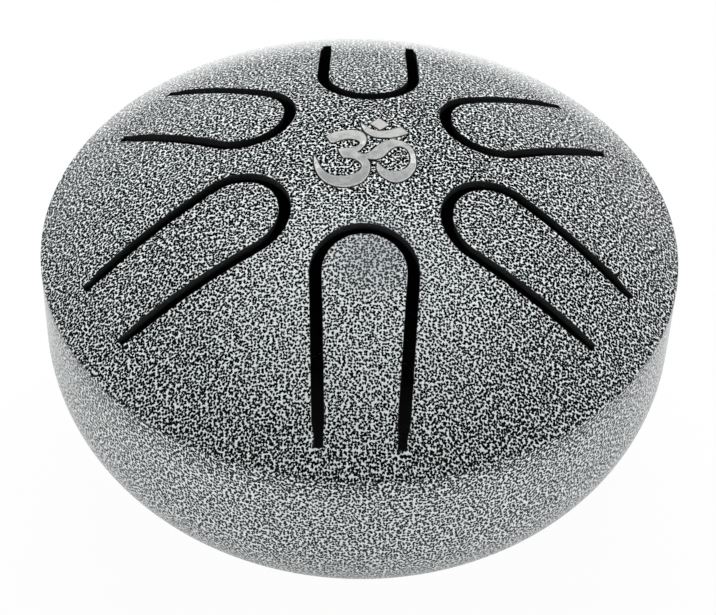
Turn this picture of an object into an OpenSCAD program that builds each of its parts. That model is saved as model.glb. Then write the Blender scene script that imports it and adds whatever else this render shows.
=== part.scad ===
/* [Shells] */
// Outer diameter of both shells at the rim
shell_d = 80; // [76:1:100]
// Rise of the dome from the rim to its top
dome_rise = 14.3; // [12:0.1:18]
// Thickness of the steel sheet
sheet_t = 1; // [0.8:0.1:1.4]
// Height of the straight wall under the rim
wall_h = 11.6; // [8:0.1:16]
// Outer radius of the corner between the wall and the flat base
corner_r = 17.8; // [14:0.1:20]
// Diameter of the sound hole in the base
sound_hole_d = 18; // [12:0.5:20]
// Radius of the weld bead that closes the rim
weld_r = 0.4; // [0.3:0.05:0.48]

/* [Tongue pattern] */
// Distance from the pattern's centre to the centre of each rounded head
head_at = 17.85; // [17:0.05:20]
// Radius of each rounded head
head_r = 5.05; // [4.5:0.05:6]
// Width of the slots beside and around a tongue
slot_w = 1.5; // [1:0.1:1.8]
// Width of the slots at their square outer ends
slot_end_w = 1.1; // [0.8:0.05:1.4]
// Length of a slot's narrow end
slot_neck = 1.3; // [0.5:0.1:2]
// Length over which a slot narrows to its narrow end
slot_taper = 1.2; // [0.8:0.1:2]
// How far a tongue's side steps out at the narrow end
neck_in = 0.15; // [0.05:0.05:0.3]
// Turn of the whole pattern about the vertical, in degrees
pattern_turn = 0.45; // [-5:0.05:5]
// How far right of the shell's axis the pattern is cut
pattern_x = 0.5; // [-1:0.1:1]
// How far behind the shell's axis the pattern is cut
pattern_y = 0.3; // [-1:0.1:1]
// Gap between a tongue's root and the shell, where it hinges
root_gap = 0.05; // [0.04:0.01:0.1]

/* [Tongues] */
// Rim left outside the slot ends of the front tongue
front_margin = 2.9; // [2.6:0.1:6]
// Rim left outside the slot ends of the front right tongue
front_right_margin = 5.5; // [3:0.1:9]
// Rim left outside the slot ends of the back right tongue
back_right_margin = 7.9; // [3:0.1:10]
// Rim left outside the slot ends of the back tongue
back_margin = 9.6; // [3:0.1:11]
// Rim left outside the slot ends of the back left tongue
back_left_margin = 6.9; // [3:0.1:10]
// Rim left outside the slot ends of the front left tongue
front_left_margin = 4; // [3:0.1:9]
// Width of the front tongue's straight sides at its root
front_root_w = 8.2; // [7:0.1:10]
// Width of the front right tongue's straight sides at its root
front_right_root_w = 8.7; // [7:0.1:10]
// Width of the back right tongue's straight sides at its root
back_right_root_w = 9.1; // [7:0.1:10]
// Width of the back tongue's straight sides at its root
back_root_w = 9.6; // [7:0.1:11]
// Width of the back left tongue's straight sides at its root
back_left_root_w = 9.2; // [7:0.1:10]
// Width of the front left tongue's straight sides at its root
front_left_root_w = 8.6; // [7:0.1:10]

/* [Feet] */
// Diameter of a rubber foot
foot_d = 8; // [6:0.5:9]
// Height of a rubber foot
foot_h = 2.5; // [2:0.1:5]
// Radius of a foot's rounded lower edge
foot_edge_r = 0.6; // [0.2:0.1:1.2]

/* [Emblem] */
// Width of the emblem
emblem_w = 12.6; // [8:0.1:14]
// Thickness of the emblem's metal
emblem_t = 0.12; // [0.08:0.01:0.3]
// Thickness of the glue film between the emblem and the dome
glue_t = 0.02; // [0.02:0.01:0.05]
// How far the emblem's centre lies right of the pattern's centre
emblem_x = -0.15; // [-1:0.05:1]
// How far the emblem's centre lies behind the pattern's centre
emblem_y = 0.5; // [-1:0.1:2]

/* [Hidden] */
$fn = 96;

shell_r = shell_d / 2;
// Radius and centre height of the dome's outer sphere
dome_r = (shell_r * shell_r + dome_rise * dome_rise) / (2 * dome_rise);
base_z = foot_h;
rim_z = base_z + corner_r + wall_h;
dome_z = rim_z + dome_rise - dome_r;
// The weld bead touches both the dome's sphere and the outside of the wall
weld_at = shell_r - weld_r;
weld_z = dome_z + sqrt((dome_r - weld_r) * (dome_r - weld_r) - weld_at * weld_at);
// Direction from the bead's centre to where it touches the dome, in degrees above level
weld_touch = acos(weld_at / (dome_r - weld_r));
// The bead's groove opens wider than the bead touches the sheet by this turn, in degrees
groove_turn = 3;
foot_count = 3;
// The feet stand midway between the sound hole and the edge of the flat base
foot_at = (sound_hole_d / 2 + shell_r - corner_r) / 2;
foot_r = foot_d / 2;
// How far a cutting shape runs past what it cuts
overrun = sheet_t;
// The straight sides of a tongue leave its head this much inside the head's edge
side_ease = 0.01;
side_r = head_r - side_ease;

// Each tongue's rim margin and root width, anticlockwise from the front
tongues = [
    [front_margin, front_root_w],
    [front_right_margin, front_right_root_w],
    [back_right_margin, back_right_root_w],
    [back_margin, back_root_w],
    [back_left_margin, back_left_root_w],
    [front_left_margin, front_left_root_w],
];
// Turn from one tongue to the next, in degrees
tongue_turn = 360 / len(tongues);

// Curves of the emblem's outline, as shares of its width from its centre.
// Each row runs smoothly through its points, and rows meet at corners.
sign_shares = [
    [[-0.39, 0.205], [-0.31, 0.265], [-0.21, 0.295], [-0.12, 0.3], [-0.04, 0.265], [0, 0.185],
     [-0.005, 0.095], [-0.04, 0.025], [-0.085, -0.03]],
    [[-0.085, -0.03], [-0.06, -0.05], [-0.015, -0.06], [0.04, -0.025], [0.095, 0.05], [0.16, 0.125],
     [0.235, 0.17], [0.31, 0.175], [0.39, 0.14], [0.455, 0.055], [0.485, -0.07], [0.482, -0.205],
     [0.43, -0.325], [0.362, -0.395], [0.29, -0.422], [0.21, -0.395], [0.14, -0.33],
     [0.108, -0.25], [0.11, -0.165]],
    [[0.11, -0.165], [0.15, -0.22], [0.205, -0.265], [0.27, -0.28], [0.34, -0.26], [0.4, -0.205],
     [0.43, -0.12], [0.425, -0.02], [0.39, 0.055], [0.335, 0.085], [0.28, 0.07], [0.23, 0.02],
     [0.195, -0.04], [0.16, -0.09], [0.11, -0.12], [0.06, -0.125], [0.015, -0.12]],
    [[0.015, -0.12], [0.04, -0.185], [0.045, -0.265], [0.025, -0.355], [-0.03, -0.445],
     [-0.115, -0.495], [-0.21, -0.51], [-0.315, -0.485], [-0.405, -0.415], [-0.465, -0.31],
     [-0.495, -0.19], [-0.5, -0.065]],
    [[-0.5, -0.065], [-0.46, -0.16], [-0.42, -0.26], [-0.35, -0.34], [-0.255, -0.37],
     [-0.15, -0.36], [-0.07, -0.31], [-0.035, -0.24], [-0.055, -0.175], [-0.11, -0.13],
     [-0.16, -0.115], [-0.215, -0.115]],
    [[-0.215, -0.115], [-0.245, -0.06], [-0.27, 0.01]],
    [[-0.27, 0.01], [-0.195, 0.02], [-0.125, 0.03], [-0.075, 0.065], [-0.06, 0.11],
     [-0.085, 0.145], [-0.15, 0.165], [-0.22, 0.155], [-0.275, 0.13], [-0.315, 0.105]],
    [[-0.315, 0.105], [-0.345, 0.11]],
    [[-0.345, 0.11], [-0.39, 0.205]],
];
crescent_shares = [
    [[-0.06, 0.43], [0, 0.36], [0.065, 0.315], [0.135, 0.3], [0.205, 0.315], [0.27, 0.35],
     [0.335, 0.39]],
    [[0.41, 0.305], [0.34, 0.255], [0.245, 0.21], [0.15, 0.2], [0.06, 0.215], [-0.01, 0.275],
     [-0.045, 0.35]],
];
diamond_shares = [[0.115, 0.515], [0.22, 0.415], [0.13, 0.32], [0.035, 0.415]];
// Straight steps along each stretch between two points of a curve
curve_steps = 3;

// Angle at which a tongue's straight side leaves its round head
function side_turn(reach, half_w) =
    atan2(half_w, reach - head_at) + acos(side_r / norm([reach - head_at, half_w]));

function ray(turn) = [cos(turn), sin(turn)];

// Point at a radius from the head's centre in that direction
function side_start(r, turn) = [head_at, 0] + r * ray(turn);

// Half width between a tongue's straight sides at a distance along it
function side_y(start, reach, half_w, x) =
    half_w + (start[1] - half_w) * (reach - x) / (reach - start[0]);

// Corners along one side of a tongue or an opening, from its head out to its root.
// The narrow end's corners lie the given step off the straight side, and the wide part's
// corners lie the full width off it.
function edge(start, reach, half_w, wide, end_x, step) = [
    for (at = [
        [reach - slot_neck - slot_taper, wide], [reach - slot_neck, step], [end_x, step],
    ])
        [at[0], side_y(start, reach, half_w, at[0]) + at[1]],
];

function mirrored(corners) = [for (i = [len(corners) - 1 : -1 : 0]) [corners[i][0], -corners[i][1]]];

function knot(c, i) = c[max(0, min(len(c) - 1, i))];

// Point at share t of the stretch after point i of a smooth curve
function bend(c, i, t) =
    (2 * knot(c, i) + (knot(c, i + 1) - knot(c, i - 1)) * t
    + (2 * knot(c, i - 1) - 5 * knot(c, i) + 4 * knot(c, i + 1) - knot(c, i + 2)) * t * t
    + (3 * knot(c, i) - knot(c, i - 1) - 3 * knot(c, i + 1) + knot(c, i + 2)) * t * t * t) / 2;

// A closed outline from rows of smooth curves that meet at corners
function outline(rows) = [
    for (c = rows)
        for (i = [0 : len(c) - 2])
            for (s = [0 : curve_steps - 1])
                bend(c, i, s / curve_steps),
];

// A closed outline from rows whose last points are corners of their own
function open_outline(rows) = [for (c = rows) for (p = concat(outline([c]), [c[len(c) - 1]])) p];

module pattern_place(number) {
    translate([pattern_x, pattern_y])
        rotate(-90 + number * tongue_turn + pattern_turn)
            children();
}

// Plan of a tongue, lying along +X with its root at the given reach
module tongue_plan(reach, root_w) {
    start = side_start(side_r, side_turn(reach, root_w / 2));
    side = edge(start, reach, root_w / 2, 0, reach - root_gap, neck_in);
    tip_x = head_at - head_r - overrun;
    tip_y = side_y(start, reach, root_w / 2, tip_x);
    clear_y = tip_y + overrun;
    difference() {
        polygon(concat([[tip_x, tip_y]], side, mirrored(side), [[tip_x, -tip_y]]));
        // What lies beyond the round head
        difference() {
            translate([tip_x - overrun, -clear_y])
                square([start[0] - tip_x + overrun, 2 * clear_y]);
            translate([head_at, 0])
                circle(head_r);
        }
    }
}

// Plan of the whole opening round a tongue, out to the slots' square ends
module opening_plan(reach, root_w) {
    turn = side_turn(reach, root_w / 2);
    start = side_start(side_r, turn);
    outer = side_start(side_r + slot_w, turn);
    side = edge(start, reach, root_w / 2, slot_w, reach, neck_in + slot_end_w);
    translate([head_at, 0])
        circle(head_r + slot_w);
    polygon(concat([[head_at, 0], outer], side, mirrored(side), [[outer[0], -outer[1]]]));
}

// Half section of the round groove that the weld bead fills, open to the outside
module rim_groove() {
    mouth_r = weld_r + overrun;
    translate([weld_at, weld_z]) {
        circle(weld_r);
        polygon([[0, 0], mouth_r * ray(-groove_turn), mouth_r * ray(weld_touch + groove_turn)]);
    }
}

// A layer of the dome between two heights over its surface, down to the middle of the weld bead
module dome_layer(under, over) {
    rotate_extrude()
        difference() {
            intersection() {
                translate([0, dome_z])
                    circle(dome_r + over);
                translate([0, weld_z])
                    square([shell_r, dome_rise + overrun]);
            }
            translate([0, dome_z])
                circle(dome_r + under);
            rim_groove();
        }
}

// The domed sheet before the slots are cut
module dome_sheet() {
    dome_layer(-sheet_t, 0);
}

// A prism over a plan, tall enough to cross the whole dome
module through_dome() {
    translate([0, 0, weld_z - overrun])
        linear_extrude(dome_rise + overrun + overrun)
            children();
}

module top_shell() {
    color("slategray")
        difference() {
            dome_sheet();
            through_dome()
                for (number = [0 : len(tongues) - 1])
                    pattern_place(number)
                        opening_plan(shell_r - tongues[number][0], tongues[number][1]);
        }
}

module tongue(number) {
    color("darkgray")
        intersection() {
            dome_sheet();
            through_dome()
                pattern_place(number)
                    tongue_plan(shell_r - tongues[number][0], tongues[number][1]);
        }
}

// Half section of the bowl, grown inwards from its outside by the given depth
module bowl_half(depth) {
    r = corner_r - depth;
    translate([0, base_z + depth])
        square([shell_r - corner_r, rim_z - base_z]);
    translate([0, base_z + corner_r])
        square([shell_r - depth, rim_z - base_z]);
    translate([shell_r - corner_r, base_z + corner_r])
        circle(r);
}

module bottom_shell() {
    color("lightslategray")
        rotate_extrude()
            difference() {
                intersection() {
                    bowl_half(0);
                    square([shell_r, weld_z]);
                }
                bowl_half(sheet_t);
                square([sound_hole_d / 2, base_z + sheet_t + overrun]);
                rim_groove();
            }
}

module rim_weld() {
    color("gray")
        rotate_extrude()
            translate([weld_at, weld_z])
                circle(weld_r);
}

module foot(number) {
    color("dimgray")
        rotate(-90 + number * 360 / foot_count)
            translate([foot_at, 0, 0])
                rotate_extrude() {
                    square([foot_r - foot_edge_r, foot_h]);
                    translate([0, foot_edge_r])
                        square([foot_r, foot_h - foot_edge_r]);
                    intersection() {
                        translate([foot_r - foot_edge_r, foot_edge_r])
                            circle(foot_edge_r);
                        square([foot_r, foot_h]);
                    }
                }
}

module om_emblem() {
    color("silver")
        intersection() {
            dome_layer(glue_t, glue_t + emblem_t);
            through_dome()
                translate([pattern_x + emblem_x, pattern_y + emblem_y])
                    scale(emblem_w) {
                        polygon(outline(sign_shares));
                        polygon(open_outline(crescent_shares));
                        polygon(diamond_shares);
                    }
        }
}

top_shell();
bottom_shell();
rim_weld();
tongue(0);  // front_tongue
tongue(1);  // front_right_tongue
tongue(2);  // back_right_tongue
tongue(3);  // back_tongue
tongue(4);  // back_left_tongue
tongue(5);  // front_left_tongue
foot(0);  // foot_1
foot(1);  // foot_2
foot(2);  // foot_3
om_emblem();
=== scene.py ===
"""The visible pieces of a steel tongue drum, built round its frame."""
import math
from types import SimpleNamespace

import bmesh
import bpy
import numpy as np
from bpy.props import FloatProperty, FloatVectorProperty, IntProperty, PointerProperty
from mathutils import Matrix, Vector
from mathutils.geometry import delaunay_2d_cdt


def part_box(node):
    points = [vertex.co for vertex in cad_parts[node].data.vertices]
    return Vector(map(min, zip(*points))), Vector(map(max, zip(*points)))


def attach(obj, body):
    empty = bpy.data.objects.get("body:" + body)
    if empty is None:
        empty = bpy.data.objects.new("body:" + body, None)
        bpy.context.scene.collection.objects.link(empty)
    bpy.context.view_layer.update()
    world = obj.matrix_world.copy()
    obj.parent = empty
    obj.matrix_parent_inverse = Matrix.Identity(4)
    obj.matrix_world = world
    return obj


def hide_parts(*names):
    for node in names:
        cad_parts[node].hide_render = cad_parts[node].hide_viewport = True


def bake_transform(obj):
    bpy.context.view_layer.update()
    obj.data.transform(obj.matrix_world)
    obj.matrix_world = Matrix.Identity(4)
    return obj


bl_info = {
    "name": "Steel Tongue Drum",
    "version": (1, 0, 0),
    "blender": (4, 5, 0),
    "location": "View3D > Sidebar > Tongue Drum",
    "description": "Builds the visible pieces of a steel tongue drum and the stage it stands on",
    "category": "Add Mesh",
}

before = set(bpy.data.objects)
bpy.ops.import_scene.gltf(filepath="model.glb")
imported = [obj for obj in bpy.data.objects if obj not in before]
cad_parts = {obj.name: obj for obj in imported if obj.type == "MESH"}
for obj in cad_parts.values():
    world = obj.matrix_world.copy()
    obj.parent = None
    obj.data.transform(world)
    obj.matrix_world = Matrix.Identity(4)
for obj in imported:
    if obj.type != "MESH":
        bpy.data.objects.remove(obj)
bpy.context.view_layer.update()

MM = 0.001
TONGUES = ("front", "front_right", "back_right", "back", "back_left", "front_left")
FEET = ("foot_1", "foot_2", "foot_3")


def length(name, description, size):
    """A length, whose default is given in millimetres."""
    return FloatProperty(
        name=name, description=description, default=size * MM, unit="LENGTH", precision=5)


def lengths(name, description, sizes):
    """A row of lengths, whose defaults are given in millimetres."""
    return FloatVectorProperty(
        name=name, description=description, size=len(sizes), default=[s * MM for s in sizes],
        unit="LENGTH", precision=5)


def angle(name, description, degrees):
    """An angle, whose default is given in degrees."""
    return FloatProperty(
        name=name, description=description, default=math.radians(degrees), subtype="ANGLE")


def colour(name, description, *levels):
    """A colour, whose default is given as its red, green and blue levels."""
    return FloatVectorProperty(
        name=name, description=description, subtype="COLOR", size=4, default=(*levels, 1),
        min=0, max=1)


class DrumSlots(bpy.types.PropertyGroup):
    """The six U-shaped slots, in plan, and how the coat rounds their edges."""

    head_at: length("Head Distance", "From the pattern's centre to a head's centre", 17.85)
    head_r: length("Head Radius", "Radius of a tongue's round head", 5.06)
    width: length("Slot Width", "Width of a slot beside its tongue", 1.45)
    end_width: length("End Width", "Width of a slot at its square end", 1.05)
    neck: length("Neck", "Length of a slot's narrow end", 1.3)
    neck_in: length("Neck Step", "How far a tongue's side steps out at the narrow end", 0.15)
    taper: length("Taper", "Length over which a slot narrows to its end", 1.2)
    margins: lengths(
        "Margins", "Rim outside each tongue's slot ends, anticlockwise from the front",
        (2.9, 5.5, 7.9, 9.6, 6.9, 4))
    root_widths: lengths(
        "Root Widths", "Width between a tongue's straight sides at its root",
        (8.2, 8.7, 9.1, 9.6, 9.2, 8.6))
    turn: angle("Turn", "Turn of the whole pattern", 0.45)
    place: lengths("Place", "The pattern's centre", (0.5, 0.3))
    end_r: length("End Corner Radius", "Radius in the corners of a slot's end", 0.04)
    taper_r: length("Taper Radius", "Radius where a slot narrows", 2.5)
    edge_r: length("Edge Radius", "Radius of the coated edge along a slot", 0.06)


class DrumSheet(bpy.types.PropertyGroup):
    """The pressed sheet that both shells are made of."""

    thickness: length("Thickness", "Thickness of the sheet", 1)
    corner_r: length("Bowl Corner", "Outer radius between the bowl's wall and its base", 17.8)
    weld_r: length("Weld Radius", "Radius of the bead that closes the rim", 0.4)
    hole_r: length("Sound Hole Radius", "Radius of the hole in the base", 9)
    hole_edge_r: length("Hole Edge", "Radius of the sound hole's rolled edge", 0.4)
    step: length("Mesh Step", "Distance between points inside the top sheet", 1.4)
    segments: IntProperty(
        name="Segments", description="Segments round the rim", default=240, min=48)


class DrumFoot(bpy.types.PropertyGroup):
    """A glued rubber bumper."""

    edge_r: length("Edge Radius", "Radius of the lower edge", 0.6)
    dimple_r: length("Dimple Radius", "Radius of the moulded hollow in the middle", 1.5)
    dimple_h: length("Dimple Depth", "Depth of the moulded hollow", 0.35)
    segments: IntProperty(name="Segments", description="Segments round a foot", default=64, min=24)


class DrumEmblem(bpy.types.PropertyGroup):
    """The thin metal sign glued on top of the dome."""

    height: length("Height", "From the dome to the sign's upper face", 0.14)
    glue: length("Glue", "Thickness of the glue film", 0.02)
    # The dark film round the metal is painted shadow.
    painted_shadow_line: length("Shadow Line", "Width of the film that shows round the metal", 0.16)
    edge_r: length("Edge Radius", "Radius of the metal's upper edge", 0.11)
    step: length("Mesh Step", "Distance between points along the outline", 0.12)


class DrumFinish(bpy.types.PropertyGroup):
    """Colours and grain of the drum's finishes."""

    crest: colour("Crest Colour", "Brightest middle of the veins", 0.93, 0.975, 0.985)
    vein: colour("Vein Colour", "Light network of the coat", 0.47, 0.50, 0.51)
    fringe: colour("Fringe Colour", "Where a vein thins out over the ground", 0.10, 0.103, 0.106)
    ground: colour("Ground Colour", "Black ground between the veins", 0.002, 0.003, 0.003)
    # Painted sheen: a paler bluish grey on the front tongue's head.
    head_sheen: colour("Head Sheen Colour", "Painted sheen on the front tongue's head", 0.18, 0.2, 0.22)
    grain: FloatProperty(
        name="Grain", description="Cells per millimetre of the coat", default=2.75)
    inside: colour(
        "Inside Colour", "Dark colour and painted shade on the slot walls and inside", 0.035, 0.037, 0.038)
    metal: colour("Emblem Colour", "Satin metal of the emblem", 0.56, 0.573, 0.572)
    # Reached by random patches and, behind, by the painted reflection.
    metal_warm: colour("Warm Emblem Colour", "Lighter patches of the emblem", 0.73, 0.725, 0.69)
    rubber: colour("Rubber Colour", "Rubber of the feet", 0.02, 0.02, 0.021)


class DrumStage(bpy.types.PropertyGroup):
    """Camera, lamps and floor."""

    lens: FloatProperty(
        name="Lens", description="Focal length", default=116.587, unit="CAMERA")
    elevation: angle("Elevation", "Height of the view over the horizon", 45.5033)
    roll: angle("Roll", "Turn of the camera about its view", 1.8401)
    distance: length("Distance", "From the rim's height to the camera, along the view", 291.92)
    drop: length("Drop", "How far the view is moved down", 8.556)
    aim: length("Aim", "Height of the view's middle over the rim", 0.19)
    floor_size: FloatProperty(
        name="Floor", description="Width of the floor", default=6, unit="LENGTH")
    fill: FloatProperty(
        name="Fill", description="Level of the light from all round", default=0.2)


# Name, place and width in metres, and power in watts.
LAMPS = (
    ("overhead_lamp", (0.0, 0.6, 0.6), 0.6, 7.9),
    ("front_lamp", (0.03, -0.8, 0.06), 0.4, 2.6),
    ("left_lamp", (-0.75, -0.1, 0.06), 0.35, 1.6),
    ("right_lamp", (0.75, -0.1, 0.06), 0.35, 1.6),
)
LAMP_AIM = Vector((0, 0, 0.03))
# Rise and level of the pale band that the coat and the metal mirror.
HORIZON = ((0.0, 0.65), (0.08, 0.2), (0.4, 0.05))
# Where the floor leaves the drum's painted shadow, in shares of the rim's radius, and how far it
# does.
SHADE_EDGE, CLEAR_MOST = (0.42, 0.72), 0.97
# The floor's level under the drum, darkened as painted shadow, and outside it.
FLOOR_LEVELS = (0.05, 0.92)
# How brightly the floor glows in the drum's reflections, a painted reflection, by the distance
# from its middle and by the depth: from one place to another, in metres, and the levels there.
TABLE_REACH = (0.08, 0.28, 0.95, 0.05)
TABLE_DEPTH = (-0.07, 0.08, 0.3, 1.35)

# The coat's level where it changes from ground to fringe, vein and crest.
COAT_STOPS = (0.37, 0.385, 0.405, 0.51)
# What is added to the level everywhere; on the front and the wall, as painted light; and round the
# sign, as painted shade.
COVER, FRONT_LIGHT_COVER, SIGN_SHADE_COVER = -0.095, 0.075, -0.03
# Middle, full radius and outer radius of a patch of the coat, in millimetres.
FRONT_LIGHT_PATCH = ((0, -21, 43), 8, 24)
SIGN_SHADE_PATCH = ((4, 2, 46), 7, 19)
# The front tongue's head, where the coat is paler and bluer as painted sheen.
HEAD_SHEEN_PATCH = ((1.6, -15.3, 44), 0.5, 8)

SHEET_FINISHES = ("vein_powder_coat", "dark_inside_and_shade")
COAT, INSIDE = range(2)
SIGN_FINISHES = ("satin_nickel", "glue_and_shadow_film", "painted_highlight_edge")
METAL, GLUE_AND_SHADOW, HIGHLIGHT_EDGE = range(3)

# Steps round a slot's head and the corners of its end, and round the groove for the weld.
HEAD_STEPS, ROOT_STEPS, END_STEPS, SIDE_STEPS, GROOVE_STEPS = 34, 6, 5, 4, 7
# Directions round a slot's coated edge, and how many of its strips the light coat reaches.
EDGE_TURNS = [math.radians(t) for t in (90, 68, 45, 22, 0)]
COATED_STRIPS = 1
# Rows inside the sign's outline, in edge radii: how far in, and how far from it at least.
INSETS, GRID_CLEAR = ((0.3, 0.28), (1.0, 0.97)), 2.2


def measures():
    """Radii and heights that the frame's boxes give."""
    bowl_low, bowl_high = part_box("bottom_shell")
    bead_low, bead_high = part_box("rim_weld")
    top_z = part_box("top_shell")[1].z
    weld_r = bpy.context.scene.drum_sheet.weld_r
    weld_z = (bead_high.z + bead_low.z) / 2
    shell_r = bowl_high.x
    weld_at = shell_r - weld_r
    rise = top_z - weld_z
    dome_r = (weld_at ** 2 + rise ** 2 - weld_r ** 2) / (2 * (rise - weld_r))
    return SimpleNamespace(
        shell_r=shell_r, base_z=bowl_low.z, weld_r=weld_r, weld_z=weld_z, weld_at=weld_at,
        dome_r=dome_r, dome_z=top_z - dome_r)


def heading(turn):
    """The cosine and the sine of an angle."""
    return math.cos(turn), math.sin(turn)


def spaced(start, end, steps):
    """Values in even steps from one to another, with both ends."""
    return [start + (end - start) * i / steps for i in range(steps + 1)]


def fill(tree, terms):
    """Gives each socket its value, or links it to an earlier output."""
    for socket, term in terms:
        if isinstance(term, bpy.types.NodeSocket):
            tree.links.new(term, socket)
        else:
            socket.default_value = term


def add_node(tree, kind, *terms, **values):
    """Adds a node, sets its fields, and fills its open sockets in turn or by name."""
    node = tree.nodes.new("ShaderNode" + kind)
    for key in [key for key in values if hasattr(node, key)]:
        setattr(node, key, values.pop(key))
    sockets = [socket for socket in node.inputs if socket.enabled]
    fill(tree, zip(sockets, terms))
    fill(tree, [(socket, values[socket.name]) for socket in sockets if socket.name in values])
    return node


def result(tree, kind, *terms, **values):
    """Adds a node and gives its first open output."""
    node = add_node(tree, kind, *terms, **values)
    return next(output for output in node.outputs if output.enabled)


def maths(tree, operation, *terms):
    """The result of one sum on numbers."""
    return result(tree, "Math", *terms, operation=operation)


def vector_maths(tree, operation, *terms):
    """The result of one sum on places."""
    return result(tree, "VectorMath", *terms, operation=operation)


def mixed(tree, factor, low, high, data_type="RGBA"):
    """One thing at a factor of 0 and another at 1."""
    return result(tree, "Mix", factor, low, high, data_type=data_type)


def carried(tree, value, start, end, at_start, at_end, way="SMOOTHSTEP"):
    """A number carried from one range to another."""
    return result(
        tree, "MapRange", value, start, end, at_start, at_end, interpolation_type=way)


def object_place(tree):
    return add_node(tree, "TexCoord").outputs["Object"]


def part_of(tree, place, axis):
    """One coordinate of a place."""
    return add_node(tree, "SeparateXYZ", place).outputs[axis]


def noise(tree, place, waves, detail, output="Fac", **fields):
    """Noise of so many waves per millimetre."""
    return add_node(tree, "TexNoise", place, waves / MM, detail, **fields).outputs[output]


def grey(level):
    return (level, level, level, 1)


def ramp(tree, level, stops):
    """A colour along (position, colour) stops."""
    node = add_node(tree, "ValToRGB", level)
    elements = node.color_ramp.elements
    while len(elements) < len(stops):
        elements.new(0.5)
    for element, (position, shade) in zip(elements, stops):
        element.position = position
        element.color = shade
    return node.outputs["Color"]


def grey_ramp(tree, level, *stops):
    """A level along (position, level) stops."""
    return ramp(tree, level, [(position, grey(shade)) for position, shade in stops])


def relief(tree, height, strength, depth):
    """Fine relief, with its depth in millimetres."""
    return result(tree, "Bump", Height=height, Strength=strength, Distance=depth * MM)


def coat_place(tree):
    """Where the coat lies when it is spread flat: over the dome, round the wall, or on the base."""
    m, corner_r = measures(), bpy.context.scene.drum_sheet.corner_r
    cell_stretch, base_turn = 0.85, math.radians(32)
    place = object_place(tree)
    x, y, z = add_node(tree, "SeparateXYZ", place).outputs
    tilt = maths(tree, "DIVIDE", maths(tree, "SUBTRACT", z, m.dome_z), m.dome_r)
    spread = maths(tree, "SQRT", maths(tree, "DIVIDE", 2.0, maths(tree, "ADD", tilt, 1.0)))
    dome = vector_maths(tree, "SCALE", place, spread)

    corner_z = m.base_z + corner_r
    around = maths(tree, "ARCTAN2", x, maths(tree, "MULTIPLY", y, -1.0))
    fall = maths(tree, "DIVIDE", maths(tree, "SUBTRACT", corner_z, z), corner_r)
    bend = maths(tree, "ARCSINE", maths(tree, "MAXIMUM", fall, 0.0))
    down = maths(
        tree, "SUBTRACT", maths(tree, "MAXIMUM", z, corner_z),
        maths(tree, "MULTIPLY", bend, corner_r))
    wall = result(
        tree, "CombineXYZ", maths(tree, "MULTIPLY", around, m.shell_r),
        maths(tree, "MULTIPLY", down, cell_stretch))

    on_dome = maths(tree, "GREATER_THAN", z, m.weld_z + m.weld_r / 2)
    on_base = maths(tree, "LESS_THAN", z, corner_z - corner_r * math.cos(base_turn))
    beside = mixed(tree, on_dome, wall, dome, "VECTOR")
    return mixed(tree, on_base, beside, place, "VECTOR")


def near_point(tree, centre, full, none):
    """1 within a distance of a point, falling smoothly to 0 further out, in millimetres."""
    far = vector_maths(tree, "DISTANCE", object_place(tree), [c * MM for c in centre])
    return carried(tree, far, full * MM, none * MM, 1.0, 0.0)


def painted_light_and_shade(tree):
    """Painted light: more of the light veins on the front of the dome and the wall. Painted shade:
    fewer round the sign.
    """
    weld_z, fade = measures().weld_z, 4 * MM
    z = part_of(tree, object_place(tree), "Z")
    wall = carried(tree, z, weld_z - fade, weld_z, 1.0, 0.0, "LINEAR")
    most = maths(tree, "MAXIMUM", near_point(tree, *FRONT_LIGHT_PATCH), wall)
    least = maths(tree, "MULTIPLY_ADD", near_point(tree, *SIGN_SHADE_PATCH), SIGN_SHADE_COVER, COVER)
    return maths(tree, "MULTIPLY_ADD", most, FRONT_LIGHT_COVER, least)


def coat_finish(tree, finish):
    """Powder coat: small black cells in a network of light veins."""
    place = coat_place(tree)
    sway_waves, sway_reach = 4.6, 0.13 * MM
    rough_waves, rough_share = 5.4, 0.65
    most_sheen = 0.36
    sway = noise(tree, place, sway_waves, 0.0, "Color", noise_dimensions="2D")
    sway = vector_maths(tree, "SUBTRACT", sway, (0.5, 0.5, 0.5))
    bent = vector_maths(tree, "MULTIPLY_ADD", sway, (sway_reach, sway_reach, 0.0), place)
    cells = result(
        tree, "TexVoronoi", bent, finish.grain / MM, voronoi_dimensions="2D", Randomness=0.85)
    rough = noise(tree, place, rough_waves, 0.0, noise_dimensions="2D")
    rough = maths(tree, "SUBTRACT", rough, 0.5)
    level = maths(tree, "MULTIPLY_ADD", rough, rough_share, cells)
    # Painted light on the front and the wall, painted shade round the sign.
    level = maths(tree, "ADD", level, painted_light_and_shade(tree))
    tints = (finish.ground, finish.fringe, finish.vein, finish.crest)
    shades = ramp(tree, level, [*zip(COAT_STOPS, tints)])
    # Painted sheen: the front tongue's head is mixed towards a paler bluish grey.
    head_sheen = maths(tree, "MULTIPLY", near_point(tree, *HEAD_SHEEN_PATCH), most_sheen)
    return {
        "Base Color": mixed(tree, head_sheen, shades, finish.head_sheen),
        "Roughness": grey_ramp(tree, level, (COAT_STOPS[0], 0.14), (COAT_STOPS[2], 0.24)),
        "Specular IOR Level": 0.5, "Normal": relief(tree, shades, 0.25, 0.03)}


def inside_finish(tree, finish):
    """Near-black with sparse pale specks, on the slot walls and the inside of the shells: the
    inside's own dark colour, and painted shade on the slot walls.
    """
    shades = [(0.5, finish.inside), (0.70, grey(0.05)), (0.78, grey(0.3))]
    return {
        "Base Color": ramp(tree, noise(tree, object_place(tree), 3.0, 2.0), shades),
        "Roughness": 0.6, "Specular IOR Level": 0.25}


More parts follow.
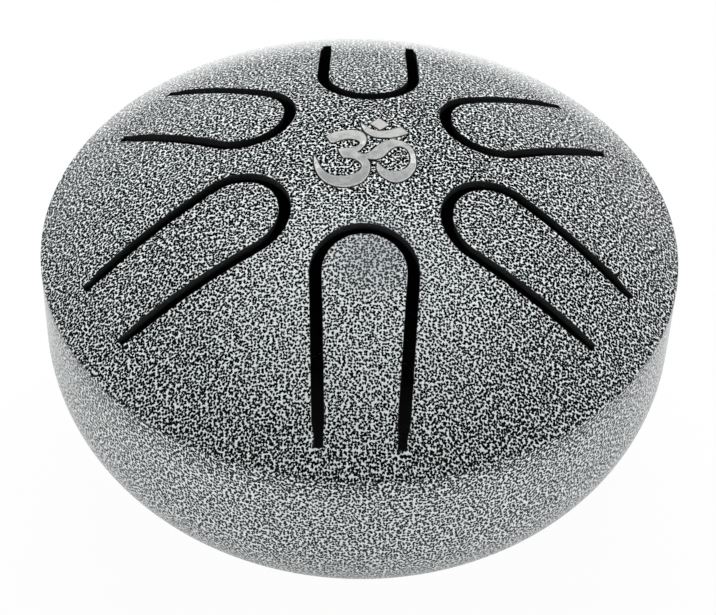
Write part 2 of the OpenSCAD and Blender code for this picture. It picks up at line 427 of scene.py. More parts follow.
def nickel_finish(tree, finish):
    """Satin nickel, with a fine uneven surface and random lighter patches; cooler and darker in
    front and warmer and lighter behind, as painted reflection.
    """
    place = object_place(tree)
    grain_share, painted_sheen_behind, dullness = 0.7, 0.03 / MM, 0.72
    cloud, grain = noise(tree, place, 0.9, 2.0), noise(tree, place, 7, 2.0)
    level = maths(
        tree, "MULTIPLY_ADD", maths(tree, "SUBTRACT", grain, 0.5), grain_share, cloud)
    # Painted reflection: the sign grows lighter and warmer towards its back.
    level = maths(tree, "MULTIPLY_ADD", part_of(tree, place, "Y"), painted_sheen_behind, level)
    dull = tuple(c * dullness for c in finish.metal[:3]) + (1,)
    shades = [(0.3, dull), (0.5, finish.metal), (0.7, finish.metal_warm)]
    return {
        "Base Color": ramp(tree, level, shades), "Metallic": 0.2,
        "Roughness": grey_ramp(tree, level, (0.3, 0.36), (0.7, 0.5)),
        "Normal": relief(tree, grain, 0.3, 0.02)}


def highlight_edge_finish(tree, finish):
    """The emblem's rounded edge, lighter than its face as a painted highlight, with fine nicks in
    its shine.
    """
    nicks = noise(tree, object_place(tree), 5, 2.0)
    shades = [(0.3, (0.72, 0.72, 0.71, 1)), (0.6, (0.95, 0.95, 0.94, 1))]
    return {
        "Base Color": ramp(tree, nicks, shades), "Metallic": 0.1,
        "Roughness": grey_ramp(tree, nicks, (0.3, 0.2), (0.7, 0.34))}


def glue_and_shadow_finish(tree, finish):
    """Dark film of set glue under the sign, which round the metal is a painted shadow line."""
    cloud = noise(tree, object_place(tree), 2, 2.0)
    return {"Base Color": grey_ramp(tree, cloud, (0.3, 0.004), (0.8, 0.03)), "Roughness": 0.5}


def rubber_finish(tree, finish):
    """Matt moulded rubber with a fine grain."""
    grain = noise(tree, object_place(tree), 5, 3.0)
    light = tuple(c * 1.8 for c in finish.rubber[:3]) + (1,)
    return {
        "Base Color": ramp(tree, grain, [(0.35, finish.rubber), (0.75, light)]),
        "Roughness": grey_ramp(tree, grain, (0.3, 0.62), (0.7, 0.8)),
        "Normal": relief(tree, grain, 0.4, 0.02)}


FINISHES = {
    "vein_powder_coat": coat_finish, "dark_inside_and_shade": inside_finish,
    "satin_nickel": nickel_finish, "painted_highlight_edge": highlight_edge_finish,
    "glue_and_shadow_film": glue_and_shadow_finish, "moulded_rubber": rubber_finish,
}


def material_for(name):
    """A named finish, made once."""
    material = bpy.data.materials.get(name)
    if material is None:
        material = bpy.data.materials.new(name)
        material.use_nodes = True
        tree = material.node_tree
        shader = tree.nodes["Principled BSDF"]
        terms = FINISHES[name](tree, bpy.context.scene.drum_finish)
        fill(tree, [(shader.inputs[key], term) for key, term in terms.items()])
    return material


def add_object(name, data):
    """A new object in the scene."""
    thing = bpy.data.objects.new(name, data)
    bpy.context.scene.collection.objects.link(thing)
    return thing


class Skin:
    """Points with normals, and faces with finish numbers, gathered for one mesh."""

    def __init__(self):
        self.points, self.normals, self.faces, self.finishes = [], [], [], []

    def point(self, place, normal):
        self.points.append(tuple(place))
        self.normals.append(tuple(normal))
        return len(self.points) - 1

    def ring(self, segments, radius, z, out, up, centre=(0.0, 0.0)):
        """A level ring of points, whose normals lean out and up."""
        row = []
        for k in range(segments):
            c, s = heading(2 * math.pi * k / segments)
            place = (centre[0] + radius * c, centre[1] + radius * s, z)
            row.append(self.point(place, (out * c, out * s, up)))
        return row

    def face(self, corners, finish):
        self.faces.append(tuple(corners))
        self.finishes.append(finish)

    def strip(self, one, other, finish):
        """Quads between two closed rows of points."""
        for i in range(len(one)):
            j = (i + 1) % len(one)
            self.face((one[i], one[j], other[j], other[i]), finish)

    def build(self, name, finish_names):
        """Makes the object, with smooth faces and the gathered normals."""
        mesh = bpy.data.meshes.new(name)
        mesh.from_pydata(self.points, [], self.faces)
        for finish_name in finish_names:
            mesh.materials.append(material_for(finish_name))
        mesh.polygons.foreach_set("material_index", self.finishes)
        mesh.polygons.foreach_set("use_smooth", [True] * len(self.faces))
        mesh.update()
        mesh.normals_split_custom_set_from_vertices(self.normals)
        return add_object(name, mesh)


def triangulated(places, edges):
    """Triangles over points in plan that keep the given edges."""
    found = delaunay_2d_cdt([Vector(p) for p in places], edges, [], 1, 1e-9, True)
    faces, origins = found[2], found[3]
    if not all(origins):
        raise RuntimeError("A plan crosses itself")
    return [[origins[i][0] for i in face] for face in faces]


def unit(rows):
    """Directions, made one long."""
    return rows / np.linalg.norm(rows, axis=-1, keepdims=True)


def strides(loop):
    """The steps to each point of a closed loop, and the steps on from it."""
    return loop - np.roll(loop, 1, axis=0), np.roll(loop, -1, axis=0) - loop


def dome_point(m, place, radius):
    """Point on a sphere round the dome's centre, over a place in plan, and its normal."""
    x, y = place
    z = math.sqrt(radius ** 2 - x * x - y * y)
    return (x, y, m.dome_z + z), np.array((x, y, z)) / radius


def inside_loop(points, loop):
    """Which of the points lie inside a closed loop."""
    x, y = points[:, 0], points[:, 1]
    inside = np.zeros(len(points), bool)
    for (x1, y1), (x2, y2) in zip(loop, np.roll(loop, -1, axis=0)):
        crosses = (y1 > y) != (y2 > y)
        with np.errstate(divide="ignore", invalid="ignore"):
            inside ^= crosses & (x < (x2 - x1) * (y - y1) / (y2 - y1) + x1)
    return inside


def corner_arc(corner, before, after, radius, steps):
    """Points and outward normals round a corner of the void, from one side to the next."""
    a, b = unit(before - corner), unit(after - corner)
    half = math.acos(float(np.clip(a @ b, -1, 1))) / 2
    centre = corner + unit(a + b) * radius / math.sin(half)
    start = corner + a * radius / math.tan(half) - centre
    end = corner + b * radius / math.tan(half) - centre
    sweep = math.atan2(start[0] * end[1] - start[1] * end[0], float(start @ end))
    rows = []
    for c, s in map(heading, spaced(0, sweep, steps)):
        spoke = np.array((c * start[0] - s * start[1], s * start[0] + c * start[1]))
        rows.append((centre + spoke, spoke / radius))
    return rows


def straight(start, end, step, normal):
    """Points strictly between two ends, with one normal."""
    count = max(1, math.ceil(np.linalg.norm(end - start) / step))
    return [(place, np.array(normal)) for place in spaced(start, end, count)[1:-1]]


def side_rows(rows, corners, radius, step, into):
    """Carries rows on from a slot's end, round the corners of its side, up to the head."""
    for before, corner, after in zip(corners, corners[1:], corners[2:]):
        arc = corner_arc(corner, before, after, radius, SIDE_STEPS)
        arc = [(p, n if n @ into > 0 else -n) for p, n in arc]
        rows += straight(rows[-1][0], arc[0][0], step, arc[0][1])
        rows += arc
    return rows + straight(rows[-1][0], corners[-1], step, rows[-1][1])


def slot_halves(slots, reach, root_w, step):
    """Half loops of a slot on its left side: along the tongue, and along the shell.

    Both start in the middle of the root corner and end over the middle of the head. Each row is
    a point and the direction from the slot into the sheet.
    """
    head = np.array((slots.head_at, 0.0))
    away = (reach - slots.head_at, root_w / 2)
    turn = math.atan2(*away[::-1]) + math.acos(slots.head_r / math.hypot(*away))
    rays = [np.array(heading(t)) for t in spaced(turn, math.pi, HEAD_STEPS)]
    inner_head = [(head + slots.head_r * r, -r) for r in rays]
    outer_head = [(head + (slots.head_r + slots.width) * r, r) for r in rays]
    inner_start, outer_start = inner_head[0][0], outer_head[0][0]
    slope = (root_w / 2 - inner_start[1]) / (reach - inner_start[0])

    def beside(x, out):
        return np.array((x, inner_start[1] + slope * (x - inner_start[0]) + out))

    neck_x = reach - slots.neck
    flare_x = neck_x - slots.taper
    far = slots.neck_in + slots.end_width
    inner = [beside(reach, slots.neck_in), beside(neck_x, slots.neck_in), beside(flare_x, 0.0)]
    outer = [beside(reach, far), beside(neck_x, far), beside(flare_x, slots.width)]
    root_arc = corner_arc(inner[0], outer[0], inner[1], slots.end_r, ROOT_STEPS)
    end_arc = corner_arc(outer[0], inner[0], outer[1], slots.end_r, END_STEPS)
    end_wall = straight(root_arc[0][0], end_arc[0][0], step / 2, (1.0, 0.0))
    middle = ROOT_STEPS // 2
    tongue = side_rows(
        root_arc[middle:], inner + [inner_start], slots.taper_r, step, np.array((0.0, -1.0)))
    shell = side_rows(
        root_arc[middle::-1] + end_wall + end_arc, outer + [outer_start], slots.taper_r, step,
        np.array((0.0, 1.0)))
    return tongue + inner_head, shell + outer_head


class Slot:
    """One tongue's slot, laid out in the drum's plan."""

    def __init__(self, number, slots, sheet, shell_r):
        c, s = heading(-math.pi / 2 + number * math.pi / 3 + slots.turn)
        self.outward = np.array((c, s))
        self.centre = np.array(slots.place)
        self.spin = np.array(((c, -s), (s, c)))
        self.edge_r = slots.edge_r
        reach = shell_r - slots.margins[number]
        halves = slot_halves(slots, reach, slots.root_widths[number], sheet.step * 0.75)
        self.tongue, self.shell = (self.whole(half) for half in halves)
        start, *_, end = self.border(self.tongue)
        self.root_line = spaced(start, end, steps=8)[1:-1]

    def whole(self, half):
        """Both sides of a half loop, turned into place."""
        flip = np.array((1.0, -1.0))
        rows = half + [(p * flip, n * flip) for p, n in half][-2::-1]
        return [(self.centre + self.spin @ p, self.spin @ n) for p, n in rows]

    def border(self, rows):
        """The row on the sheet's face, set back by the rounded edge."""
        return [p + n * self.edge_r for p, n in rows]


class TopSheet:
    """Plan of the slotted dome, and the surfaces over and under it."""

    def __init__(self, scene):
        self.m = m = measures()
        self.sheet = scene.drum_sheet
        self.edge_r = scene.drum_slots.edge_r
        self.slots = [
            Slot(i, scene.drum_slots, self.sheet, m.shell_r) for i in range(len(TONGUES))]
        self.rim_r = m.weld_at * m.dome_r / (m.dome_r - m.weld_r)
        self.under_r = m.dome_r - self.sheet.thickness
        self.under_rim_r = math.sqrt(self.under_r ** 2 - (m.weld_z - m.dome_z) ** 2)
        self.layout()

    def layout(self):
        """Triangulates the sheet in plan, keeping the slots' edges and the roots' lines."""
        points, edges = [], []

        def row(places):
            ids = range(len(points), len(points) + len(places))
            points.extend(tuple(p) for p in places)
            edges.extend(zip(ids, ids[1:]))
            return list(ids)

        turns = spaced(0, 2 * math.pi, self.sheet.segments)[:-1]
        self.rim = row([(self.rim_r * c, self.rim_r * s) for c, s in map(heading, turns)])
        edges.append((self.rim[-1], self.rim[0]))
        loops = []
        for slot in self.slots:
            inner, outer = slot.border(slot.tongue), slot.border(slot.shell)[1:-1]
            tongue, shell = row(inner), row(outer)
            first, last = tongue[0], tongue[-1]
            edges.extend(((first, shell[0]), (last, shell[-1])))
            line = row(slot.root_line)
            edges.extend(((first, line[0]), (last, line[-1])))
            slot.tongue_ids = tongue
            slot.shell_ids = [first, *shell, last]
            slot.line_ids = [first, *line, last]
            loops.append((np.array(inner + outer[::-1]), np.array(inner)))
        points.extend(self.grid(np.array(points), [void for void, _ in loops]))

        self.plan = np.array(points)
        self.triangles = np.array(triangulated(points, edges))
        corners = self.plan[self.triangles]
        middles = corners.mean(axis=1)
        self.region = np.zeros(len(corners), int)
        for number, (void, tongue) in enumerate(loops):
            self.region[inside_loop(middles, tongue)] = number + 1
            self.region[inside_loop(middles, void)] = -1
        one, two = corners[:, 1] - corners[:, 0], corners[:, 2] - corners[:, 0]
        clockwise = one[:, 0] * two[:, 1] - one[:, 1] * two[:, 0] < 0
        self.triangles[clockwise] = self.triangles[clockwise][:, ::-1]

    def grid(self, fixed, voids):
        """Points in even rows over the sheet, clear of its fixed points and of the slots."""
        step, rim_gap, point_gap = self.sheet.step, 0.6, 0.45
        rows = int(self.rim_r / (step * math.sqrt(3) / 2)) + 1
        grid = np.array([
            (i * step + (j % 2) * step / 2, j * step * math.sqrt(3) / 2)
            for j in range(-rows, rows + 1) for i in range(-rows - 1, rows + 2)])
        grid = grid[np.hypot(grid[:, 0], grid[:, 1]) < self.under_rim_r - step * rim_gap]
        gaps = np.array([np.min(np.hypot(*(fixed - g).T)) for g in grid])
        grid = grid[gaps > step * point_gap]
        for void in voids:
            grid = grid[~inside_loop(grid, void)]
        return [tuple(g) for g in grid]

    def over(self, place, drop=0.0):
        """Point and normal on the outer face, the given distance under it."""
        (x, y, z), out = dome_point(self.m, place, self.m.dome_r)
        return (x, y, z - drop), out

    def under(self, place, lift=0.0):
        """Point and normal on the inner face, the given distance over it."""
        x, y = place
        radius = math.hypot(x, y)
        if radius > self.under_rim_r:
            x, y = x * self.under_rim_r / radius, y * self.under_rim_r / radius
        (x, y, z), out = dome_point(self.m, (x, y), self.under_r)
        return (x, y, z + lift), -out

    def skin(self, number):
        """The shell, number 0, or a tongue, numbers 1 to 6, as a closed skin."""
        skin = Skin()
        top, low = {}, {}
        triangles = self.triangles[self.region == number]
        for i in sorted(set(triangles.ravel())):
            top[i] = skin.point(*self.over(self.plan[i]))
            low[i] = skin.point(*self.under(self.plan[i]))
        for a, b, c in triangles:
            skin.face((top[a], top[b], top[c]), COAT)
            skin.face((low[c], low[b], low[a]), INSIDE)
        if number:
            self.slot_wall(skin, self.slots[number - 1], top, low, False)
        else:
            for slot in self.slots:
                self.slot_wall(skin, slot, top, low, True)
            self.rim_wall(skin, top, low)
        return skin

    def slot_wall(self, skin, slot, top, low, on_shell):
        """Rounded edges and the wall of a slot, and the cut across its tongue's root."""
        rows = zip(slot.shell, slot.shell_ids) if on_shell else zip(slot.tongue, slot.tongue_ids)
        columns = []
        path = [(self.over, turn) for turn in EDGE_TURNS[1:]]
        path += [(self.under, turn) for turn in EDGE_TURNS[:0:-1]]
        for (place, inward), i in rows:
            flat = np.array((-inward[0], -inward[1], 0))
            column = [top[i]]
            for side, turn in path:
                c, s = heading(turn)
                spot, out = side(place + inward * self.edge_r * (1 - c), self.edge_r * (1 - s))
                column.append(skin.point(spot, unit(out * s + flat * c)))
            columns.append(column + [low[i]])

        def face(corners, finish):
            skin.face(corners[::-1] if on_shell else corners, finish)

        for one, other in zip(columns, columns[1:]):
            for k in range(len(one) - 1):
                corners = (one[k], one[k + 1], other[k + 1], other[k])
                # Past the coated strips the slot wall is near-black, partly painted shade.
                face(corners, COAT if k < COATED_STRIPS else INSIDE)
        for a, b in zip(slot.line_ids, slot.line_ids[1:]):
            face((top[a], top[b], low[b], low[a]), INSIDE)
        face(columns[0][::-1], INSIDE)
        face(columns[-1], INSIDE)

    def rim_wall(self, skin, top, low):
        """The round groove that the weld bead fills, and the sheet's lower edge."""
        m = self.m
        touch = math.acos(m.weld_at / (m.dome_r - m.weld_r))
        rows = [[top[i] for i in self.rim]]
        for c, s in map(heading, spaced(touch, math.pi, GROOVE_STEPS)[1:]):
            radius, z = m.weld_at + m.weld_r * c, m.weld_z + m.weld_r * s
            rows.append(skin.ring(self.sheet.segments, radius, z, -c, -s))
        rows.append([low[i] for i in self.rim])
        for one, other in zip(rows, rows[1:]):
            skin.strip(other, one, INSIDE)


def ring_skin(profile, segments, centre=(0.0, 0.0), capped=False):
    """Turns a profile of (radius, height, normal out, normal up, finish) rows.

    The profile closes on itself, or has a point on the axis at each end.
    """
    skin = Skin()
    rows = [skin.ring(segments, *row[:4], centre) for row in profile]
    for i in range(len(rows) - 1 if capped else len(rows)):
        skin.strip(rows[i], rows[(i + 1) % len(rows)], profile[i][4])
    if capped:
        for row, (_, z, _, up, finish) in ((rows[0][::-1], profile[0]), (rows[-1], profile[-1])):
            middle = skin.point((*centre, z), (0, 0, up))
            for k in range(segments):
                skin.face((row[k], row[(k + 1) % segments], middle), finish)
    return skin


def arc_rows(centre, radius, start, end, steps, finish, sense=1):
    """Profile rows along an arc, from one direction to another, in degrees."""
    rows = []
    for turn in spaced(start, end, steps):
        c, s = heading(math.radians(turn))
        rows.append((centre[0] + radius * c, centre[1] + radius * s, sense * c, sense * s, finish))
    return rows


def finish_piece(piece, body, slot_name, *nodes):
    """Ties a finished piece to its body, and hides the nodes it stands for; its slot name is not
    used.
    """
    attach(piece, body)
    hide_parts(*nodes)


class DRUM_OT_stage(bpy.types.Operator):
    """Set the camera, the lamps, the pale surroundings and the floor."""

    bl_idname = "drum.stage"
    bl_label = "Set the Stage"

    def execute(self, context):
        scene, stage = context.scene, context.scene.drum_stage
        scene.view_settings.view_transform = "Standard"
        self.set_camera(scene, stage)
        self.set_world(scene, stage)
        self.set_lamps()
        self.set_floor(stage)
        return {"FINISHED"}

    def set_camera(self, scene, stage):
        data = bpy.data.cameras.new("drum_camera")
        data.sensor_fit = "HORIZONTAL"
        data.sensor_width = 36
        data.lens = stage.lens
        data.clip_start = 0.01
        data.clip_end = 20
        camera = add_object("drum_camera", data)
        flat, rise = heading(stage.elevation)
        lean, roll = heading(stage.roll)
        right, up, back = Vector((1, 0, 0)), Vector((0, rise, flat)), Vector((0, -flat, rise))
        aim = Vector((0, 0, measures().weld_z + stage.aim))
        place = aim + back * stage.distance - up * stage.drop
        rolled = (right * lean + up * roll, up * lean - right * roll, back)
        axes = Matrix(rolled).transposed().to_4x4()
        camera.matrix_world = Matrix.Translation(place) @ axes
        scene.camera = camera

    def set_world(self, scene, stage):
        """White to the camera, a pale band along the horizon to mirrors, and even light."""
        world = bpy.data.worlds.new("drum_surroundings")
        scene.world = world
        world.use_nodes = True
        tree = world.node_tree
        place = add_node(tree, "TexCoord").outputs["Generated"]
        band = grey_ramp(tree, part_of(tree, place, "Z"), *HORIZON)
        path = add_node(tree, "LightPath").outputs
        mirrored = mixed(tree, path["Is Glossy Ray"], grey(stage.fill), band)
        seen = mixed(tree, path["Is Camera Ray"], mirrored, grey(1.0))
        fill(tree, zip(tree.nodes["Background"].inputs, (seen, 1.0)))

    def set_lamps(self):
        for name, place, size, power in LAMPS:
            data = bpy.data.lights.new(name, "AREA")
            data.shape = "SQUARE"
            data.size = size
            data.energy = power
            lamp = add_object(name, data)
            lamp.location = place
            aim = LAMP_AIM - Vector(place)
            lamp.rotation_euler = aim.to_track_quat("-Z", "Y").to_euler()
            lamp.visible_glossy = False

    def set_floor(self, stage):
        """A floor with the drum's shadow painted dark under it, white outside it to the camera, and
        with a painted reflection that glows to mirror rays.
        """
        material = bpy.data.materials.new("pale_floor")
        material.use_nodes = True
        tree = material.node_tree
        tree.nodes.remove(tree.nodes["Principled BSDF"])
        path = add_node(tree, "LightPath").outputs
        place = object_place(tree)
        reach, shell_r = vector_maths(tree, "LENGTH", place), measures().shell_r
        # Painted shadow: under the drum the floor is dark and glows less to the camera and to
        # mirror rays.
        clear = carried(tree, reach, *(shell_r * share for share in SHADE_EDGE), 0.0, CLEAR_MOST)
        under = mixed(tree, clear, *(grey(level) for level in FLOOR_LEVELS))
        matt = result(tree, "BsdfDiffuse", under)
        # Painted reflection: the floor glows to mirror rays, less further out and less in front.
        table = carried(tree, reach, *TABLE_REACH)
        nearer = carried(tree, part_of(tree, place, "Y"), *TABLE_DEPTH, "LINEAR")
        mirror = maths(tree, "MULTIPLY", table, nearer)
        white = mixed(tree, path["Is Camera Ray"], mirror, 1.0, "FLOAT")
        glow = result(tree, "Emission", white, 1.0)
        seen = maths(tree, "MAXIMUM", path["Is Camera Ray"], path["Is Glossy Ray"])
        surface = result(tree, "MixShader", maths(tree, "MULTIPLY", seen, clear), matt, glow)
        tree.links.new(surface, tree.nodes["Material Output"].inputs["Surface"])
        half = stage.floor_size / 2
        mesh = bpy.data.meshes.new("floor")
        mesh.from_pydata(
            [(-half, -half, 0), (half, -half, 0), (half, half, 0), (-half, half, 0)], [],
            [(0, 1, 2, 3)])
        mesh.materials.append(material)
        floor = add_object("floor", mesh)


class DRUM_OT_top_sheet(bpy.types.Operator):
    """Make the slotted dome and its six tongues from one sheet."""

    bl_idname = "drum.top_sheet"
    bl_label = "Make the Dome and Tongues"

    def execute(self, context):
        sheet, blend_reach = TopSheet(context.scene), 3
        shell = sheet.skin(0).build("slotted_dome", SHEET_FINISHES)
        finish_piece(shell, "shell", "coat", "top_shell")
        for number, name in enumerate(TONGUES):
            piece = sheet.skin(number + 1).build(f"{name}_tongue_sheet", SHEET_FINISHES)
            body = f"{name}_tongue"
            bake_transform(piece)
            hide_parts(body)
        return {"FINISHED"}


class DRUM_OT_bowl(bpy.types.Operator):
    """Make the bowl with its rolled sound hole."""

    bl_idname = "drum.bowl"
    bl_label = "Make the Bowl"

    def execute(self, context):
        m, sheet = measures(), context.scene.drum_sheet
        thick, corner_r, edge = sheet.thickness, sheet.corner_r, sheet.hole_edge_r
        shell_r, weld_z, base_z = m.shell_r, m.weld_z, m.base_z
        corner = (shell_r - corner_r, base_z + corner_r)
        levels = spaced(corner[1], weld_z, steps=4)[1:-1]
        hole = (sheet.hole_r + edge, base_z + edge)
        hole_top = (hole[0], base_z + thick - edge)
        inner_rings, outer_rings, seam = (0.018, 0.014), (0.012, 0.015, 0.018), 0.02 * MM
        profile = arc_rows((m.weld_at, weld_z), m.weld_r, 0, -180, 8, INSIDE, -1)
        profile += [(shell_r - thick, z, -1, 0, INSIDE) for z in (weld_z, *levels[::-1])]
        profile += arc_rows(corner, corner_r - thick, 0, -90, 20, INSIDE, -1)
        profile += [(r, base_z + thick, 0, 1, INSIDE) for r in inner_rings]
        profile += arc_rows(hole_top, edge, 90, 180, 6, INSIDE)
        profile += arc_rows(hole, edge, 180, 270, 6, COAT)
        profile += [(r, base_z, 0, -1, COAT) for r in outer_rings]
        profile += arc_rows(corner, corner_r, -90, 0, 28, COAT)
        profile += [(shell_r, z, 1, 0, COAT) for z in (*levels, weld_z - seam)]
        bowl = ring_skin(profile, sheet.segments).build("bowl", SHEET_FINISHES)
        finish_piece(bowl, "shell", "coat", "bottom_shell")
        return {"FINISHED"}


class DRUM_OT_weld(bpy.types.Operator):
    """Make the ground weld bead round the rim."""

    bl_idname = "drum.weld"
    bl_label = "Make the Rim Weld"

    def execute(self, context):
        m, segments = measures(), context.scene.drum_sheet.segments
        rows = arc_rows((m.weld_at, m.weld_z), m.weld_r, 0, 345, 23, COAT)
        bead = ring_skin(rows, segments).build("rim_bead", SHEET_FINISHES[:1])
        finish_piece(bead, "shell", "coat", "rim_weld")
        return {"FINISHED"}


class DRUM_OT_feet(bpy.types.Operator):
    """Make the three rubber feet."""

    bl_idname = "drum.feet"
    bl_label = "Make the Feet"

    def execute(self, context):
        for name in FEET:
            low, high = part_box(name)
            skin = self.foot(context.scene.drum_foot, low, high)
            piece = skin.build(f"rubber_{name}", ("moulded_rubber",))
            finish_piece(piece, "shell", "rubber", name)
        return {"FINISHED"}

    def foot(self, sizes, low, high):
        """A bumper with a rounded lower edge, a soft upper edge and a hollow under it."""
        radius, hollow_rings = (high.x - low.x) / 2, 7
        edge, hollow_r, hollow_h = sizes.edge_r, sizes.dimple_r, sizes.dimple_h
        soft = edge / 3
        profile = []
        for t in spaced(0, 1, hollow_rings)[1:-1]:
            wave = (1 + math.cos(math.pi * t)) / 2
            slope = math.pi / 2 * math.sin(math.pi * t) * hollow_h / hollow_r
            size = math.hypot(1, slope)
            profile.append((hollow_r * t, low.z + hollow_h * wave, -slope / size, -1 / size, 0))
        profile.append((hollow_r, low.z, 0, -1, 0))
        profile += arc_rows((radius - edge, low.z + edge), edge, -90, 0, 8, 0)
        profile += arc_rows((radius - soft, high.z - soft), soft, 0, 90, 5, 0)
        profile.append((radius / 2, high.z, 0, 1, 0))
        centre = ((high.x + low.x) / 2, (high.y + low.y) / 2)
        return ring_skin(profile, sizes.segments, centre, capped=True)


def depth_inside(points, loop):
    """Distance from each point to a closed loop, and the direction to the nearest place on it."""
    _, along = strides(loop)
    reach = points[:, None, :] - loop[None, :, :]
    share = np.clip((reach * along).sum(axis=2) / (along ** 2).sum(axis=1), 0, 1)
    gap = reach - share[:, :, None] * along
    far = np.linalg.norm(gap, axis=2)
    nearest = far.argmin(axis=1)
    rows = np.arange(len(points))
    depth = far[rows, nearest]
    away = -gap[rows, nearest] / np.maximum(depth, 1e-9)[:, None]
    return depth, away


def faces_inside(faces, count):
    """The anticlockwise faces inside an outline, which runs through the first points."""
    border = {(i, (i + 1) % count) for i in range(count)}
    owner = {
        edge: number for number, corners in enumerate(faces)
        for edge in zip(corners, corners[1:] + corners[:1])}
    kept = {owner[edge] for edge in border}
    spread = list(kept)
    while spread:
        corners = faces[spread.pop()]
        for one, other in zip(corners, corners[1:] + corners[:1]):
            beyond = owner.get((other, one))
            if (one, other) not in border and beyond not in kept:
                kept.add(beyond)
                spread.append(beyond)
    return [faces[number] for number in sorted(kept)]


def sign_outlines(node, m):
    """The sign's outlines in plan, anticlockwise, from the upper face of its node."""
    net = bmesh.new()
    net.from_mesh(node.data)
    bmesh.ops.remove_doubles(net, verts=net.verts, dist=1e-7)
    centre = Vector((0, 0, m.dome_z))
    heights = {v: (v.co - centre).length for v in net.verts}
    level = (max(heights.values()) + min(heights.values())) / 2
    links = {}
    for edge in net.edges:
        upper = [f for f in edge.link_faces if all(heights[v] > level for v in f.verts)]
        if len(upper) == 1:
            one, other = edge.verts
            links.setdefault(one, []).append(other)
            links.setdefault(other, []).append(one)
    loops = []
    while links:
        walk = [next(iter(links))]
        ahead = links[walk[0]][0]
        while ahead is not walk[0]:
            walk.append(ahead)
            ahead = next(v for v in links[ahead] if v is not walk[-2])
        loop = np.array([v.co.xy for v in walk])
        x, y = loop.T
        area = (x * np.roll(y, -1) - np.roll(x, -1) * y).sum()
        loops.append(loop if area > 0 else loop[::-1])
        for v in walk:
            del links[v]
    net.free()
    return loops


def smooth_loop(corners, step):
    """A closed outline that runs smoothly through its points and keeps its sharp corners."""
    points, least_stride, least_bulge, sharp_turn = corners, 0.3, 0.001 * MM, math.radians(30)
    for _ in range(3):
        before, after = strides(points)
        bulge = np.abs(before[:, 0] * after[:, 1] - before[:, 1] * after[:, 0])
        span = np.linalg.norm(before + after, axis=1)
        near = np.linalg.norm(after, axis=1) < step * least_stride
        keep = (bulge / span > least_bulge) & ~near
        keep |= np.roll(~keep, 1)
        points = points[keep]
    before, after = strides(points)
    a, b = np.linalg.norm(before, axis=1)[:, None], np.linalg.norm(after, axis=1)[:, None]
    lean_in, lean_out = before / a, after / b
    sharp = (lean_in * lean_out).sum(axis=1) < math.cos(sharp_turn)
    slope = (lean_in * b + lean_out * a) / (a + b)
    places = []
    for i in range(len(points)):
        j = (i + 1) % len(points)
        leave = (lean_out[i] if sharp[i] else slope[i]) * b[i]
        reach = (lean_in[j] if sharp[j] else slope[j]) * b[i]
        count = max(1, round(float(b[i, 0]) / step))
        for t in np.arange(count) / count:
            places.append(
                points[i] * (2 * t ** 3 - 3 * t ** 2 + 1) + leave * (t ** 3 - 2 * t ** 2 + t)
                + points[j] * (3 * t ** 2 - 2 * t ** 3) + reach * (t ** 3 - t ** 2))
    return np.array(places)


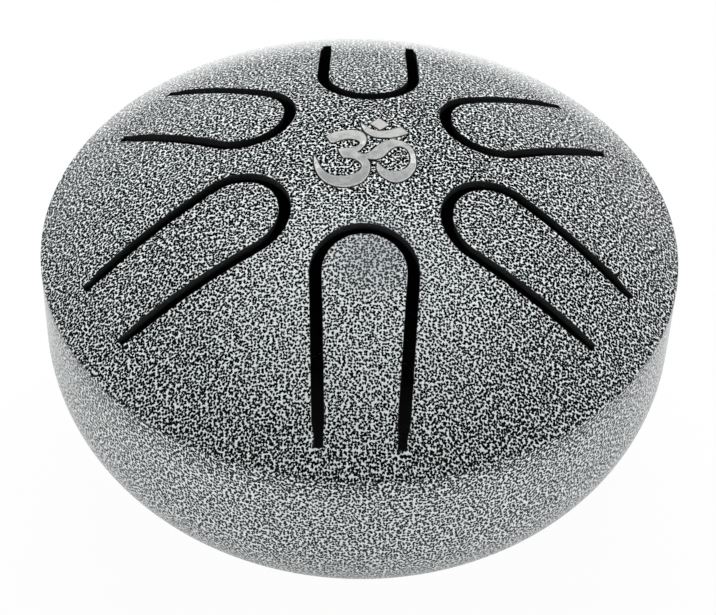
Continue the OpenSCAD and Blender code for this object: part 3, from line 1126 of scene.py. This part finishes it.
class DRUM_OT_emblem(bpy.types.Operator):
    """Make the satin metal sign on top of the dome."""

    bl_idname = "drum.emblem"
    bl_label = "Make the Emblem"

    def execute(self, context):
        sizes, m = context.scene.drum_emblem, measures()
        skin = Skin()
        for corners in sign_outlines(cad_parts["om_emblem"], m):
            self.sheet_part(skin, smooth_loop(corners, sizes.step), sizes, m)
        piece = skin.build("om_sign", SIGN_FINISHES)
        finish_piece(piece, "shell", "emblem", "om_emblem")
        return {"FINISHED"}

    def sheet_part(self, skin, loop, sizes, m):
        """One part of the sign: its rounded upper face, its wall and its glue film."""
        edge_r, count, coarse = sizes.edge_r, len(loop), sizes.step * 3
        behind, ahead = strides(loop)
        along = unit(unit(ahead) + unit(behind))
        outward = np.stack((along[:, 1], -along[:, 0]), axis=1)

        (x1, y1), (x2, y2) = loop.min(axis=0), loop.max(axis=0)
        grid = np.meshgrid(np.arange(x1, x2, coarse), np.arange(y1, y2, coarse))
        rows = [(loop - outward * edge_r * share, clear) for share, clear in INSETS]
        rows.append((np.stack(grid, axis=-1).reshape(-1, 2), GRID_CLEAR))
        inner = np.concatenate([places for places, _ in rows])
        limits = np.concatenate([np.full(len(places), edge_r * clear) for places, clear in rows])
        depth, _ = depth_inside(inner, loop)
        inner = inner[inside_loop(inner, loop) & (depth >= limits)]
        plan = np.concatenate([loop, inner])
        triangles = triangulated(plan, [(i, (i + 1) % count) for i in range(count)])

        depth, away = depth_inside(plan, loop)
        depth[:count] = 0
        away[:count] = outward
        top = []
        for place, deep, out in zip(plan, depth, away):
            lean = max(0.0, 1 - deep / edge_r)
            rise = math.sqrt(1 - lean * lean)
            height = sizes.height - edge_r * (1 - rise)
            spot, up = dome_point(m, place, m.dome_r + height)
            top.append(skin.point(spot, up * rise + np.array((*out, 0)) * lean))
        low = self.wall(skin, loop, outward, top[:count], sizes, m)
        for place in inner:
            spot, up = dome_point(m, place, m.dome_r)
            low.append(skin.point(spot, -up))
        for a, b, c in faces_inside(triangles, count):
            on_edge = depth[[a, b, c]].mean() < edge_r
            # The rounded edge takes the lighter metal, a painted highlight.
            skin.face((top[a], top[b], top[c]), HIGHLIGHT_EDGE if on_edge else METAL)
            skin.face((low[c], low[b], low[a]), GLUE_AND_SHADOW)

    def wall(self, skin, loop, outward, rim, sizes, m):
        """The metal's side, and the dark glue film, which shows round it as a fine line of painted
        shadow.
        """
        spread, _ = depth_inside(loop + outward * sizes.painted_shadow_line, loop)
        far = loop + outward * spread[:, None]
        rows = [rim]
        for line, height, tilt in (
                (loop, sizes.glue, 0.0), (far, sizes.glue * 0.6, 1.0), (far, 0, 0.0),
                (loop, 0, -3.0)):
            row = []
            for place, out in zip(line, outward):
                spot, up = dome_point(m, place, m.dome_r + height)
                row.append(skin.point(spot, unit(np.array((*out, 0)) + up * tilt)))
            skin.strip(row, rows[-1], GLUE_AND_SHADOW if len(rows) > 1 else METAL)
            rows.append(row)
        return rows[-1]


class DRUM_PT_pieces(bpy.types.Panel):
    """Lists the steps that build the drum."""

    bl_idname = "DRUM_PT_pieces"
    bl_label = "Tongue Drum"
    bl_space_type = "VIEW_3D"
    bl_region_type = "UI"
    bl_category = "Tongue Drum"

    def draw(self, context):
        for step in STEPS:
            self.layout.operator(step.bl_idname)


GROUPS = {
    "drum_slots": DrumSlots, "drum_sheet": DrumSheet, "drum_foot": DrumFoot,
    "drum_emblem": DrumEmblem, "drum_finish": DrumFinish, "drum_stage": DrumStage,
}
STEPS = (
    DRUM_OT_stage, DRUM_OT_top_sheet, DRUM_OT_bowl, DRUM_OT_weld, DRUM_OT_feet, DRUM_OT_emblem)
KINDS = (*GROUPS.values(), *STEPS, DRUM_PT_pieces)


def register():
    for kind in KINDS:
        bpy.utils.register_class(kind)
    for name, kind in GROUPS.items():
        setattr(bpy.types.Scene, name, PointerProperty(type=kind))


def unregister():
    for name in GROUPS:
        delattr(bpy.types.Scene, name)
    for kind in reversed(KINDS):
        bpy.utils.unregister_class(kind)


def main():
    register()
    bpy.ops.drum.stage()
    bpy.ops.drum.top_sheet()
    bpy.ops.drum.bowl()
    bpy.ops.drum.weld()
    bpy.ops.drum.feet()
    bpy.ops.drum.emblem()


if __name__ == "__main__":
    main()
